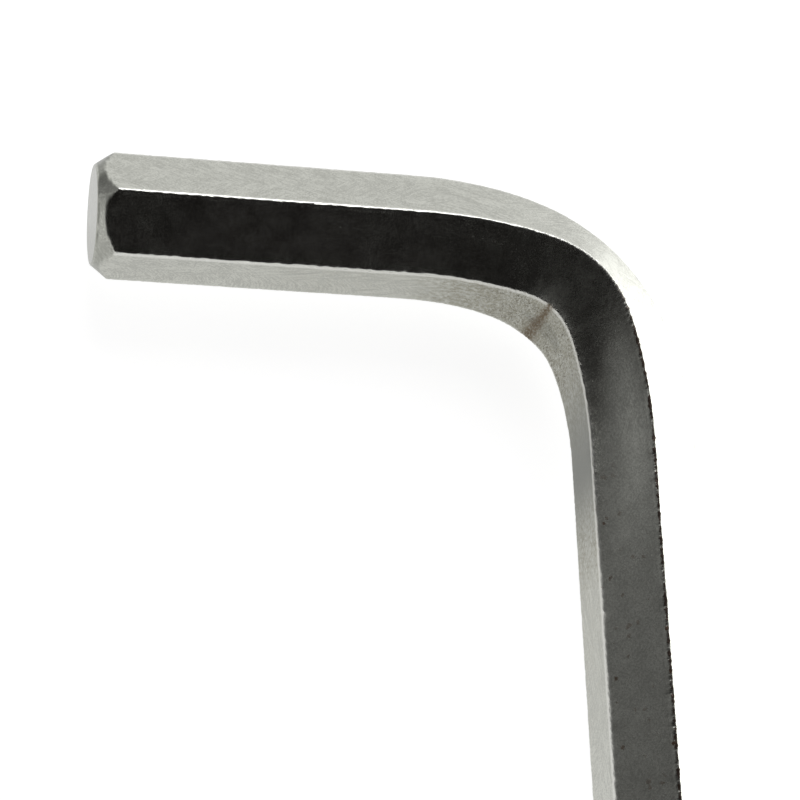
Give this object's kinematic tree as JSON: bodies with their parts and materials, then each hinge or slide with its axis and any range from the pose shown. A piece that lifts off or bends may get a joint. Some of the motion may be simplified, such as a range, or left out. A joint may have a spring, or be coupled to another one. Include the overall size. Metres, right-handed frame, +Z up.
{
  "type": "hex key",
  "caption": "L-shaped hexagonal key: one steel bar bent at a right angle, with a short arm, a long arm and chamfered ends, for turning hexagon socket screws.",
  "frame": {"origin": "middle of the bounding box, on the surface that the key lies on", "axes": "+Z up; the short arm runs along X with its free end towards -X; the long arm runs along Y with its free end towards -Y; the bend is at +X, +Y"},
  "size_m": [0.0274, 0.08, 0.0057],
  "materials": {
    "steel": "bright satin steel with fine scratches and small rust specks"
  },
  "bodies": {
    "root": {"hex_key": "steel"}
  },
  "joints": []
}
